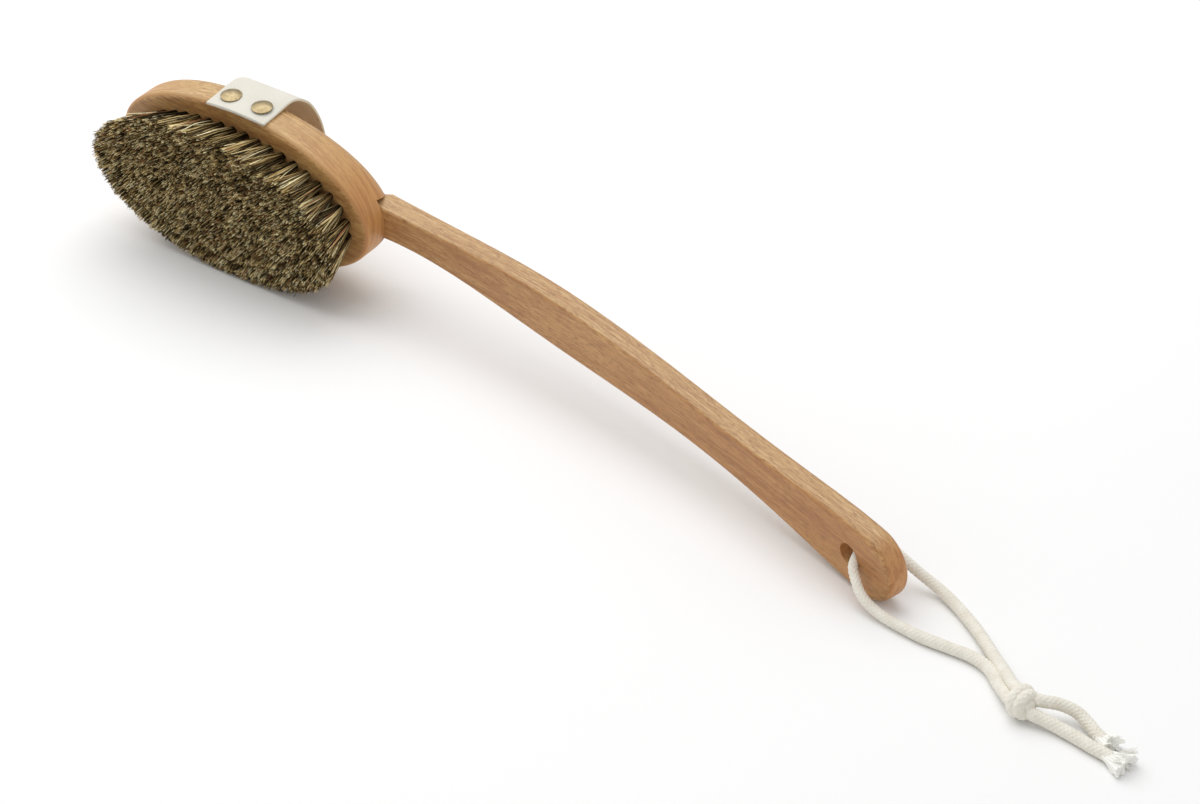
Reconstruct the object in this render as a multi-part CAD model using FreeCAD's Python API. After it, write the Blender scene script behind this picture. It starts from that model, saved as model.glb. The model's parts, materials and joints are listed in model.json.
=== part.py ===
import FreeCAD, Part
import math
import os

# Body dry brush with a removable curved handle, a nailed hand strap and a hanging cord.
# Millimetres.  The brush is drawn in its own frame and then laid down on its long side:
#   x along the head, towards the handle's end
#   y from the drilled front face towards the back, where the hand strap is
#   z across the head
# The brush frame's origin is the middle of the head's front face.

V = FreeCAD.Vector

# ---------------------------------------------------------------- driving dimensions
MARGIN = 1.0                  # how far a cutting shape reaches past what it cuts
HEAD_LENGTH = 135.0
HEAD_WIDTH = 70.4
HEAD_THICKNESS = 21.5
BACK_CROWN_RADIUS = 170.0     # the back is slightly rounded from side to side
BACK_ROUNDING = 10.5
FRONT_ROUNDING = 2.2

SLOT_FLOOR = 11.0             # depth of wood left between the front face and the slot
SLOT_HALF_WIDTH = 9.0         # at the floor, where the dovetail is widest
SLOT_END = 10.0               # where the slot stops, near the middle of the head
DOVETAIL_LEAN = math.tan(math.radians(16.0))
SLIDE_CLEARANCE = 0.1
MOUTH_START = 59.3            # from here on the slot flares, to let the neck in
MOUTH_FLARE = 3.2             # how much wider the mouth is on each side

HANDLE_START = 60.0           # the tongue ends and the neck begins
HANDLE_LAST_X = 333.0         # centre of the rounded end
HANDLE_THICKNESS = 10.4       # at the tongue
NECK_HALF_WIDTH = 8.2
FACET_RUN = 6.0               # the dovetail's sides run out along the neck
HOLE_X = 325.0
HOLE_DIAMETER = 9.0

STRAP_CENTRE = 1.0
STRAP_WIDTH = 30.0
STRAP_THICKNESS = 1.6
STRAP_LEAN = 3.0              # degrees; the strap is nailed on a little askew
NAIL_SPACING = 16.0
NAIL_Y = 6.8
NAIL_SEAT = 36.6              # the nail's head is drawn slightly into the strap
NAIL_HEAD_DIAMETER = 9.0
NAIL_HEAD_HEIGHT = 1.3
NAIL_RIM = 0.4                # the part of the head's height that is a straight edge
NAIL_SHANK_DIAMETER = 2.0
NAIL_SHANK_LENGTH = 10.0

BRISTLE_LENGTH = 20.8         # free length, measured square to the front face
TUFT_HOLE_DIAMETER = 3.9
TUFT_HOLE_DEPTH = 7.2
TUFT_ROOT_DIAMETER = 3.8
TUFT_ROOT_DEPTH = 6.3
TUFT_TIP_DIAMETER = 6.4
ANCHOR_WIRE = (0.4, 0.6, 3.4)  # thickness, height, length
ANCHOR_GAP = 0.1
ELLIPSE_STEPS = 2000          # how finely a ring of tufts is measured out

CORD_DIAMETER = 4.8
BEND_SHARE = 0.45             # how much of the shorter run each bend takes
KNOT_CENTRE = (269.4, -64.4, 6.0)
KNOT_WIDTH = 12.8
KNOT_HEIGHT = 11.8
KNOT_ROUNDING = 3.5

# The shaft's front edge, seen from the side: x, y.
SHAFT_FRONT = [(60.0, 11.15), (100.0, 8.8), (160.0, -0.6), (220.0, -13.6), (280.0, -30.3), (350.0, -52.1)]
SHAFT_END_SLOPE = -0.312
SEARCH_STEPS = 20

# Sections of the shaft: x, half width, thickness, radius of the long edges.
SHAFT_SECTIONS = [
    (HANDLE_START, NECK_HALF_WIDTH, 10.25, 0.7),
    (78.0, 7.4, 10.1, 0.9),
    (100.0, 8.0, 9.7, 1.1),
    (140.0, 10.5, 9.5, 1.3),
    (180.0, 11.3, 9.4, 1.5),
    (220.0, 10.1, 9.5, 1.6),
    (258.0, 9.6, 9.7, 1.8),
    (300.0, 12.0, 9.8, 2.2),
    (HANDLE_LAST_X, 14.0, 9.6, 2.6),
]

# Half of the strap's loop, as its middle surface, from the nailed end to the top: y, z.
STRAP_HALF_LOOP = [
    (-0.5, 35.95),
    (7.0, 36.05),
    (14.0, 36.2),
    (21.5, 34.3),
    (28.5, 28.8),
    (34.0, 18.5),
    (36.8, 0.0),
]

# Rings of tufts from the outside in: inset from the rim, number of tufts, lean in degrees.
TUFT_RINGS = {
    "outer_ring": (10.0, 41, 15.5),
    "second_ring": (16.3, 37, 11.0),
    "third_ring": (22.6, 32, 7.0),
    "inner_ring": (28.9, 25, 3.5),
}
CENTRE_ROW_COUNT = 8
CENTRE_ROW_PITCH = 6.4

# The hanging cord, with the brush laid down: x, y, z.  Both runs start in the middle of the
# handle's hole, lie on the table, pass through the knot and end in a frayed tail.
CORD_FRONT_RUN = [
    (184.5, -32.75, 15.1),
    (185.0, -39.9, 13.5),
    (190.2, -43.8, 10.2),
    (195.5, -46.6, 5.9),
    (202.9, -48.0, 3.2),
    (212.0, -48.9, 2.45),
    (222.5, -49.7, 2.45),
    (232.0, -48.3, 2.45),
    (241.0, -48.2, 2.45),
    (248.0, -51.2, 2.45),
    (253.2, -57.0, 2.7),
    (259.2, -61.9, 3.6),
    (265.8, -66.6, 4.8),
    (272.6, -67.2, 4.9),
    (279.4, -64.6, 3.3),
    (288.0, -65.2, 2.45),
    (296.6, -66.9, 2.45),
    (304.8, -67.9, 2.45),
]
CORD_REAR_RUN = [
    (184.5, -32.75, 15.1),
    (188.6, -27.4, 15.6),
    (193.6, -23.4, 13.0),
    (200.6, -23.0, 9.4),
    (206.6, -21.7, 5.6),
    (213.8, -21.9, 3.2),
    (221.8, -25.3, 2.45),
    (230.2, -30.5, 2.45),
    (239.0, -36.6, 2.45),
    (248.0, -44.4, 2.45),
    (256.8, -52.2, 3.4),
    (262.6, -58.2, 5.4),
    (268.4, -62.0, 7.4),
    (274.0, -61.6, 7.4),
    (279.0, -58.2, 5.9),
    (284.8, -56.4, 4.2),
    (290.4, -58.0, 2.9),
    (295.8, -60.6, 2.45),
    (299.2, -61.2, 2.45),
]
FRAYED_LOWER = (6.0, 4.0)     # length, radius at the tips
FRAYED_UPPER = (4.5, 3.1)

# Derived sizes.
HALF_LENGTH = HEAD_LENGTH / 2
HALF_WIDTH = HEAD_WIDTH / 2
END_HALF_WIDTH, END_THICKNESS, END_ROUNDING = SHAFT_SECTIONS[-1][1:]


# ---------------------------------------------------------------- small helpers
def spline(points):
    curve = Part.BSplineCurve()
    curve.interpolate([V(*p) for p in points])
    return curve.toShape()


def prism(points, direction):
    """A closed polygon, extruded."""
    loop = [V(*p) for p in points]
    return Part.Face(Part.makePolygon(loop + loop[:1])).extrude(V(*direction))


def mirrored(shape):
    """The same shape on the other long side of the brush."""
    return shape.mirror(V(0, 0, 0), V(0, 0, 1))


def shaft_front_curve():
    points = [V(x, y, 0) for x, y in SHAFT_FRONT]
    curve = Part.BSplineCurve()
    curve.interpolate(points, InitialTangent=V(1, 0, 0), FinalTangent=V(1, SHAFT_END_SLOPE, 0))
    return curve


# ---------------------------------------------------------------- head
def oval_block():
    """The head's outline, crowned across its back, with both edges rounded."""
    oval = Part.Ellipse(V(0, 0, 0), HALF_LENGTH, HALF_WIDTH).toShape()
    block = Part.Face(Part.Wire(oval)).extrude(V(0, 0, HEAD_THICKNESS + MARGIN))
    block.rotate(V(0, 0, 0), V(1, 0, 0), -90)
    crown = Part.makeCylinder(
        BACK_CROWN_RADIUS,
        2 * HEAD_LENGTH,
        V(-HEAD_LENGTH, HEAD_THICKNESS - BACK_CROWN_RADIUS, 0),
        V(1, 0, 0),
    )
    block = block.common(crown)
    back_edges = [edge for edge in block.Edges if edge.BoundBox.YMin > HEAD_THICKNESS / 2]
    block = block.makeFillet(BACK_ROUNDING, back_edges)
    front_edges = [edge for edge in block.Edges if edge.BoundBox.YMax < FRONT_ROUNDING]
    return block.makeFillet(FRONT_ROUNDING, front_edges)


def dovetail(x_from, x_to, half_width, y_from, y_to):
    """A bar along x, widest at y_from, whose sides lean in towards the back."""
    back_half = half_width - (y_to - y_from) * DOVETAIL_LEAN
    section = [
        (x_from, y_from, -half_width),
        (x_from, y_to, -back_half),
        (x_from, y_to, back_half),
        (x_from, y_from, half_width),
    ]
    return prism(section, (x_to - x_from, 0, 0))


def slot_mouth():
    """The flare that lets the neck into the slot."""
    top = HEAD_THICKNESS + MARGIN
    narrowing = (top - SLOT_FLOOR) * DOVETAIL_LEAN

    def section(x, half):
        loop = [
            V(x, SLOT_FLOOR, -half),
            V(x, top, narrowing - half),
            V(x, top, half - narrowing),
            V(x, SLOT_FLOOR, half),
        ]
        return Part.makePolygon(loop + loop[:1])

    per_mm = MOUTH_FLARE / (HALF_LENGTH - MOUTH_START)
    inner = section(MOUTH_START, SLOT_HALF_WIDTH)
    outer = section(HALF_LENGTH + MARGIN, SLOT_HALF_WIDTH + MOUTH_FLARE + per_mm * MARGIN)
    return Part.makeLoft([inner, outer], True, True)


def head_block(tuft_places, nails):
    block = oval_block()
    slot_top = HEAD_THICKNESS + MARGIN
    slot = dovetail(SLOT_END, HALF_LENGTH + MARGIN, SLOT_HALF_WIDTH, SLOT_FLOOR, slot_top)
    block = block.cut(slot).cut(slot_mouth())
    holes = []
    for root, direction in tuft_places:
        start = root - direction * TUFT_HOLE_DEPTH
        drilled = TUFT_HOLE_DEPTH + 2 * MARGIN
        holes.append(Part.makeCylinder(TUFT_HOLE_DIAMETER / 2, drilled, start, direction))
    block = block.cut(holes)
    return block.cut(nails)


# ---------------------------------------------------------------- bristles
def ellipse_points(half_length, half_width, count):
    """Places spaced evenly along an ellipse, each with its outward direction."""
    ring = []
    for i in range(ELLIPSE_STEPS + 1):
        t = 2 * math.pi * i / ELLIPSE_STEPS
        ring.append(V(half_length * math.cos(t), 0, half_width * math.sin(t)))
    travelled = [0.0]
    for a, b in zip(ring, ring[1:]):
        travelled.append(travelled[-1] + (b - a).Length)
    places = []
    k = 0
    for i in range(count):
        wanted = travelled[-1] * (i + 0.5) / count
        while travelled[k + 1] < wanted:
            k += 1
        point = ring[k]
        outward = V(point.x / half_length**2, 0, point.z / half_width**2).normalize()
        places.append((point, outward))
    return places


def ring_places(inset, count, lean):
    """Root and direction of each tuft in one ring; the tufts lean outwards."""
    slope = math.tan(math.radians(lean))
    places = []
    for root, outward in ellipse_points(HALF_LENGTH - inset, HALF_WIDTH - inset, count):
        direction = (V(0, -1, 0) + outward * slope).normalize()
        places.append((root, direction))
    return places


def centre_row_places():
    first = -CENTRE_ROW_PITCH * (CENTRE_ROW_COUNT - 1) / 2
    return [(V(first + CENTRE_ROW_PITCH * i, 0, 0), V(0, -1, 0)) for i in range(CENTRE_ROW_COUNT)]


def tuft(root, direction):
    """One tuft: a straight root in its hole, then a bundle that opens towards its tips."""
    length = BRISTLE_LENGTH / abs(direction.y)
    profile = [
        V(0, 0, -TUFT_ROOT_DEPTH),
        V(TUFT_ROOT_DIAMETER / 2, 0, -TUFT_ROOT_DEPTH),
        V(TUFT_ROOT_DIAMETER / 2, 0, 0),
        V(TUFT_TIP_DIAMETER / 2, 0, length),
        V(0, 0, length),
    ]
    face = Part.Face(Part.makePolygon(profile + profile[:1]))
    solid = face.revolve(V(0, 0, 0), V(0, 0, 1), 360)
    solid.Placement = FreeCAD.Placement(root, FreeCAD.Rotation(V(0, 0, 1), direction))
    return solid


def anchor(root, direction):
    """The wire that holds a folded tuft at the bottom of its hole."""
    thick, tall, long = ANCHOR_WIRE
    bottom = -TUFT_ROOT_DEPTH - ANCHOR_GAP - tall
    wire = Part.makeBox(thick, long, tall, V(-thick / 2, -long / 2, bottom))
    wire.Placement = FreeCAD.Placement(root, FreeCAD.Rotation(V(0, 0, 1), direction))
    return wire


# ---------------------------------------------------------------- hand strap and its nails
def leaned(shape):
    """Turned with the strap about the line through the nails' middle."""
    shape.rotate(V(STRAP_CENTRE, NAIL_Y, 0), V(0, 0, 1), STRAP_LEAN)
    return shape


def hand_strap(head, nails):
    """A webbing loop from one long side of the head over its back to the other side."""
    half = [(0, y, z) for y, z in STRAP_HALF_LOOP]
    loop = half + [(0, y, -z) for y, z in reversed(STRAP_HALF_LOOP[:-1])]
    path = Part.Wire(spline(loop))
    t = STRAP_THICKNESS / 2
    w = STRAP_WIDTH / 2
    y, z = STRAP_HALF_LOOP[0]
    corners = [V(-w, y, z - t), V(w, y, z - t), V(w, y, z + t), V(-w, y, z + t)]
    section = Part.makePolygon(corners + corners[:1])
    strap = path.makePipeShell([section], True, False)
    strap.translate(V(STRAP_CENTRE, 0, 0))
    return leaned(strap).cut(head).cut(nails)


def nail(offset, side):
    """A domed brass nail, driven through the strap into the head's edge."""
    radius = NAIL_HEAD_DIAMETER / 2
    dome_height = NAIL_HEAD_HEIGHT - NAIL_RIM
    dome_radius = (radius**2 + dome_height**2) / (2 * dome_height)
    dome = Part.makeSphere(dome_radius, V(0, 0, NAIL_HEAD_HEIGHT - dome_radius))
    head = Part.makeCylinder(radius, NAIL_HEAD_HEIGHT).common(dome)
    shank_radius = NAIL_SHANK_DIAMETER / 2
    straight = NAIL_SHANK_LENGTH - NAIL_SHANK_DIAMETER
    shank = Part.makeCylinder(shank_radius, straight, V(0, 0, -straight))
    point = Part.makeCone(0, shank_radius, NAIL_SHANK_DIAMETER, V(0, 0, -NAIL_SHANK_LENGTH))
    solid = head.fuse([shank, point]).removeSplitter()
    solid.translate(V(STRAP_CENTRE + offset, NAIL_Y, NAIL_SEAT))
    return leaned(solid if side > 0 else mirrored(solid))


# ---------------------------------------------------------------- handle
def shaft_station(x):
    """The point on the shaft's front face at x, and the face's direction there."""
    curve = shaft_front_curve()
    at = curve.parameter(V(x, 0, 0))
    for _ in range(SEARCH_STEPS):
        slope = curve.getD1(at)[1]
        at += (x - curve.value(at).x) / slope.x
    point, slope = curve.getD1(at)
    return point, slope.normalize()


def rounded_section(half_width, thickness, rounding):
    """The shaft's section in the plane x = 0: y from front to back, z across."""
    t, w, r = thickness, half_width, rounding
    k = r * (1 - math.sqrt(0.5))
    corners = [
        (V(0, r, w), V(0, k, w - k), V(0, 0, w - r)),
        (V(0, 0, r - w), V(0, k, k - w), V(0, r, -w)),
        (V(0, t - r, -w), V(0, t - k, k - w), V(0, t, r - w)),
        (V(0, t, w - r), V(0, t - k, w - k), V(0, t - r, w)),
    ]
    edges = []
    for corner, following in zip(corners, corners[1:] + corners[:1]):
        edges.append(Part.Arc(*corner).toShape())
        edges.append(Part.LineSegment(corner[2], following[0]).toShape())
    return Part.Wire(edges)


def put_at_station(shape, x):
    point, along = shaft_station(x)
    shape.Placement = FreeCAD.Placement(point, FreeCAD.Rotation(V(1, 0, 0), along))
    return shape


def shaft():
    """The curved shaft, and its round end, which is half of its last section turned about itself."""
    sections = [put_at_station(rounded_section(*sizes), x) for x, *sizes in SHAFT_SECTIONS]
    bar = Part.makeLoft(sections, True, False)
    end_face = Part.Face(rounded_section(END_HALF_WIDTH, END_THICKNESS, END_ROUNDING))
    clear = 4 * END_HALF_WIDTH
    upper_half = end_face.common(Part.makeBox(clear, clear, clear, V(-clear / 2, -clear / 2, 0)))
    round_end = upper_half.Faces[0].revolve(V(0, 0, 0), V(0, 1, 0), 180)
    return bar.fuse(put_at_station(round_end, HANDLE_LAST_X))


def neck_facet():
    """What the dovetail's leaning side cuts off the neck, running out along its back edge."""
    top = SLOT_FLOOR + HANDLE_THICKNESS
    tongue_half = SLOT_HALF_WIDTH - SLIDE_CLEARANCE
    low = SLOT_FLOOR + (tongue_half - NECK_HALF_WIDTH) / DOVETAIL_LEAN
    a = V(HANDLE_START, low, NECK_HALF_WIDTH)
    b = V(HANDLE_START, top, tongue_half - HANDLE_THICKNESS * DOVETAIL_LEAN)
    c = V(HANDLE_START + FACET_RUN, top, NECK_HALF_WIDTH)
    normal = (b - a).cross(c - a).normalize()
    if normal.z < 0:
        normal = -normal
    size = 4 * HANDLE_THICKNESS
    block = Part.makeBox(size, size, size, V(-size / 2, -size / 2, 0))
    block.Placement = FreeCAD.Placement((a + b + c) * (1 / 3), FreeCAD.Rotation(V(0, 0, 1), normal))
    return block


def cord_hole():
    mouth, along = shaft_station(HOLE_X)
    to_back = V(-along.y, along.x, 0)
    start = mouth - to_back * HANDLE_THICKNESS
    return Part.makeCylinder(HOLE_DIAMETER / 2, 3 * HANDLE_THICKNESS, start, to_back)


def handle():
    tongue = dovetail(
        SLOT_END + SLIDE_CLEARANCE,
        HANDLE_START,
        SLOT_HALF_WIDTH - SLIDE_CLEARANCE,
        SLOT_FLOOR + SLIDE_CLEARANCE,
        SLOT_FLOOR + HANDLE_THICKNESS,
    )
    curved = shaft().cut([neck_facet(), mirrored(neck_facet()), cord_hole()])
    return curved.fuse(tongue).removeSplitter()


# ---------------------------------------------------------------- hanging cord
def tube(name, route):
    """Straight runs joined by tangent arcs, each as large as its two runs allow."""
    points = [V(*p) for p in route]
    edges = []
    radii = []
    begin = points[0]
    for before, corner, after in zip(points, points[1:], points[2:]):
        back = before - corner
        ahead = after - corner
        reach = BEND_SHARE * min(back.Length, ahead.Length)
        half_turn = (math.pi - back.getAngle(ahead)) / 2
        radius = reach / math.tan(half_turn)
        radii.append(radius)
        back.normalize()
        ahead.normalize()
        first = corner + back * reach
        second = corner + ahead * reach
        inward = (back + ahead).normalize()
        middle = corner + inward * (radius / math.cos(half_turn) - radius)
        edges.append(Part.LineSegment(begin, first).toShape())
        edges.append(Part.Arc(first, middle, second).toShape())
        begin = second
    edges.append(Part.LineSegment(begin, points[-1]).toShape())
    path = Part.Wire(edges)
    circle = Part.Wire(Part.makeCircle(CORD_DIAMETER / 2, points[0], points[1] - points[0]))
    solid = path.makePipeShell([circle], True, False)
    expected = path.Length * math.pi * CORD_DIAMETER**2 / 4
    print(name, f"length {path.Length:.1f}, volume over section times length {solid.Volume / expected:.4f}")
    print("  radii", " ".join(f"{radius:.1f}" for radius in radii))
    return solid


def cord_knot(runs):
    """The knot's outer shape, a rounded barrel, with the cord's two runs taken out of it."""
    base = V(*KNOT_CENTRE) - V(0, 0, KNOT_HEIGHT / 2)
    barrel = Part.makeCylinder(KNOT_WIDTH / 2, KNOT_HEIGHT, base)
    rims = [edge for edge in barrel.Edges if edge.Curve.TypeId == "Part::GeomCircle"]
    return barrel.makeFillet(KNOT_ROUNDING, rims).cut(runs)


def frayed_end(route, sizes):
    """The loose fibres past the end of a tail, resting on the table."""
    length, radius = sizes
    end = V(*route[-1])
    direction = end - V(*route[-2])
    cone = Part.makeCone(CORD_DIAMETER / 2, radius, length, end, direction)
    clear = 2 * (length + radius)
    above_table = Part.makeBox(2 * clear, 2 * clear, clear, V(end.x - clear, end.y - clear, 0))
    return cone.common(above_table)


def hanging_cord():
    front = tube("cord_front_run", CORD_FRONT_RUN)
    rear = tube("cord_rear_run", CORD_REAR_RUN).cut(front)
    return {
        "cord_front_run": front,
        "cord_rear_run": rear,
        "cord_knot": cord_knot([front, rear]),
        "cord_frayed_end_lower": frayed_end(CORD_FRONT_RUN, FRAYED_LOWER),
        "cord_frayed_end_upper": frayed_end(CORD_REAR_RUN, FRAYED_UPPER),
    }


# ---------------------------------------------------------------- laying the brush down
def lowest_tuft_tip():
    """The lowest tips are those of the outer ring, at the middle of the lower long side."""
    inset, _, lean = TUFT_RINGS["outer_ring"]
    reach = HALF_WIDTH - inset + BRISTLE_LENGTH * math.tan(math.radians(lean)) + TUFT_TIP_DIAMETER / 2
    return V(STRAP_CENTRE, -BRISTLE_LENGTH, -reach)


def lying_rotation():
    """The brush rests on a lower nail's head, the outer bristles' tips and the handle's end."""
    nail_top = V(STRAP_CENTRE + NAIL_SPACING / 2, NAIL_Y, -NAIL_SEAT - NAIL_HEAD_HEIGHT)
    end_edge = shaft_station(HANDLE_LAST_X)[0] + V(0, END_ROUNDING, -END_HALF_WIDTH)
    up = (lowest_tuft_tip() - nail_top).cross(end_edge - nail_top).normalize()
    if up.z < 0:
        up = -up
    along = (V(1, 0, 0) - up * up.x).normalize()
    across = up.cross(along)
    rows = [along.x, along.y, along.z, 0, across.x, across.y, across.z, 0, up.x, up.y, up.z, 0]
    return FreeCAD.Placement(FreeCAD.Matrix(*rows, 0, 0, 0, 1))


def lay_down(nodes):
    """Turn the brush onto its side and bring the bottom centre of its box to the origin."""
    turn = lying_rotation()
    for shape in nodes.values():
        shape.Placement = turn.multiply(shape.Placement)
    box = Part.makeCompound(list(nodes.values())).optimalBoundingBox(False)
    shift = V(-box.Center.x, -box.Center.y, -box.ZMin)
    for shape in nodes.values():
        shape.translate(shift)
    return FreeCAD.Placement(shift, turn.Rotation)


# ---------------------------------------------------------------- the whole brush
def brush():
    places = {name: ring_places(*values) for name, values in TUFT_RINGS.items()}
    places["centre_row"] = centre_row_places()
    nails = {}
    for height, side in (("upper", 1), ("lower", -1)):
        for name, offset in (("left", -NAIL_SPACING / 2), ("right", NAIL_SPACING / 2)):
            nails[f"strap_nail_{height}_{name}"] = nail(offset, side)
    all_places = [place for group in places.values() for place in group]
    nodes = {"head_block": head_block(all_places, list(nails.values()))}
    for name, group in places.items():
        nodes[f"tufts_{name}"] = Part.makeCompound([tuft(*place) for place in group])
        nodes[f"tuft_anchors_{name}"] = Part.makeCompound([anchor(*place) for place in group])
    nodes["hand_strap"] = hand_strap(oval_block(), list(nails.values()))
    nodes.update(nails)
    nodes["handle"] = handle()
    return nodes


def main():
    os.makedirs("parts", exist_ok=True)
    nodes = brush()
    placement = lay_down(nodes)
    nodes.update(hanging_cord())
    for name, shape in nodes.items():
        shape.exportStep(f"parts/{name}.step")
    return nodes, placement


if __name__ == "__main__":
    main()
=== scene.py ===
"""Body dry brush: beech head and handle, fibre tufts, webbing hand strap and cotton hanging cord."""

import json
import math

import bpy
import numpy as np
from mathutils import Matrix, Vector


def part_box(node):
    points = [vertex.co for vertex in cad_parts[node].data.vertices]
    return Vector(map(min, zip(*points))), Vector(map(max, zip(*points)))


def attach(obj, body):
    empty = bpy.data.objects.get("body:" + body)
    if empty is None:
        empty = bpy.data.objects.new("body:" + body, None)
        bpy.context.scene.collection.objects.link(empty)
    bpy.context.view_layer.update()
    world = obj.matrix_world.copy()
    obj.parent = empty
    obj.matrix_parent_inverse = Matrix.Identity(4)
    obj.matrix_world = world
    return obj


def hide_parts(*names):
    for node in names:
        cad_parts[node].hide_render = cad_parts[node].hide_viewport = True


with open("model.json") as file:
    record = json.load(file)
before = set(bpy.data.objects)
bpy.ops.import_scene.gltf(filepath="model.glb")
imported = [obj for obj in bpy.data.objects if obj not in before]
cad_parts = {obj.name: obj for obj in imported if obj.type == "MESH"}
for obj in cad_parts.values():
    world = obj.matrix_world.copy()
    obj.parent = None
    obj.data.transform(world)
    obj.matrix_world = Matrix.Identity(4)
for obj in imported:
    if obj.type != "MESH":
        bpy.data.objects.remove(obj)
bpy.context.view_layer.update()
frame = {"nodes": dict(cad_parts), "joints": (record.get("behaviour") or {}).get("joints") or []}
scene = bpy.context.scene
nodes = frame["nodes"]
MM = 0.001

# ---------------------------------------------------------------- camera
VIEW_AZIMUTH = math.radians(34.5053)
VIEW_ELEVATION = math.radians(32.0138)
VIEW_ROLL = math.radians(2.386)
VIEW_DISTANCE = 1.1
VIEW_TARGET = Vector((0.041815, 0.010188, -0.001655))
VIEW_LENS = 83.94
SENSOR_WIDTH = 36


def make_camera():
    towards_camera = Vector(
        (
            math.sin(VIEW_AZIMUTH) * math.cos(VIEW_ELEVATION),
            -math.cos(VIEW_AZIMUTH) * math.cos(VIEW_ELEVATION),
            math.sin(VIEW_ELEVATION),
        )
    )
    level_right = Vector((math.cos(VIEW_AZIMUTH), math.sin(VIEW_AZIMUTH), 0))
    level_up = towards_camera.cross(level_right)
    right = math.cos(VIEW_ROLL) * level_right + math.sin(VIEW_ROLL) * level_up
    up = math.cos(VIEW_ROLL) * level_up - math.sin(VIEW_ROLL) * level_right
    camera = bpy.data.objects.new("camera", bpy.data.cameras.new("camera"))
    camera.data.lens = VIEW_LENS
    camera.data.sensor_width = SENSOR_WIDTH
    place = Matrix((right, up, towards_camera)).transposed().to_4x4()
    place.translation = VIEW_TARGET + towards_camera * VIEW_DISTANCE
    camera.matrix_world = place
    scene.collection.objects.link(camera)
    scene.camera = camera


make_camera()

# ---------------------------------------------------------------- the brush's own axes
STRAP_CENTRE = 1.0             # along the head, from its middle
NAIL_Y = 6.8                   # behind the head's front face


def middle(*names):
    corners = [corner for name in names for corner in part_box(name)]
    return sum(corners, Vector()) / len(corners)


upper_nails = middle("strap_nail_upper_left", "strap_nail_upper_right")
lower_nails = middle("strap_nail_lower_left", "strap_nail_lower_right")
along = Vector(frame["joints"][0]["axis"]).normalized()
across = upper_nails - lower_nails
across = (across - across.dot(along) * along).normalized()
towards_back = across.cross(along)
AXES = np.array([along, towards_back, across])
ORIGIN = np.array((upper_nails + lower_nails) / 2 - (along * STRAP_CENTRE + towards_back * NAIL_Y) * MM)


def placed(points):
    """Points in the brush's own axes, in millimetres, as points of the row frame, in metres."""
    return np.asarray(points, float) @ AXES * MM + ORIGIN


# ---------------------------------------------------------------- mesh helpers
def enclosed_volume(mesh):
    """Positive where the faces point outwards."""
    centres = np.zeros(len(mesh.polygons) * 3)
    normals = np.zeros(len(mesh.polygons) * 3)
    areas = np.zeros(len(mesh.polygons))
    mesh.polygons.foreach_get("center", centres)
    mesh.polygons.foreach_get("normal", normals)
    mesh.polygons.foreach_get("area", areas)
    centres = centres.reshape(-1, 3) - centres.reshape(-1, 3).mean(axis=0)
    return float(np.sum(np.sum(centres * normals.reshape(-1, 3), axis=1) * areas))


def new_piece(name, points, faces, material, body, smooth=True):
    mesh = bpy.data.meshes.new(name)
    mesh.from_pydata(np.asarray(points).tolist(), [], faces)
    mesh.update()
    if enclosed_volume(mesh) < 0:
        mesh.flip_normals()
    mesh.polygons.foreach_set("use_smooth", np.full(len(mesh.polygons), smooth))
    mesh.materials.append(material)
    piece = bpy.data.objects.new(name, mesh)
    scene.collection.objects.link(piece)
    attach(piece, body)
    return piece


def unit(vectors):
    return vectors / np.linalg.norm(vectors, axis=-1, keepdims=True)


def evenly(points, step):
    """The same line with its points about one step apart."""
    points = np.asarray(points)
    travelled = np.concatenate([[0], np.cumsum(np.linalg.norm(np.diff(points, axis=0), axis=1))])
    places = np.linspace(0, travelled[-1], max(2, round(travelled[-1] / step) + 1))
    line = np.stack([np.interp(places, travelled, points[:, k]) for k in range(3)], axis=1)
    return line, places


def side_vectors(line):
    """Two directions square to the line at each of its points, carried along without twist."""
    forward = unit(np.gradient(line, axis=0))
    first = np.cross(forward[0], (0, 0, 1))
    sides = [first / np.linalg.norm(first)]
    for direction in forward[1:]:
        side = sides[-1] - np.dot(sides[-1], direction) * direction
        sides.append(side / np.linalg.norm(side))
    sides = np.array(sides)
    return sides, np.cross(forward, sides)


def ring_faces(rings, around, first=0):
    """Quads between rings of points, and a fan at each end round its own middle point."""
    faces = []
    for i in range(rings - 1):
        for j in range(around):
            a = first + i * around + j
            b = first + i * around + (j + 1) % around
            faces.append((a, b, b + around, a + around))
    start = first + rings * around
    last = first + (rings - 1) * around
    for j in range(around):
        faces.append((start, first + (j + 1) % around, first + j))
        faces.append((start + 1, last + j, last + (j + 1) % around))
    return faces


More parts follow.
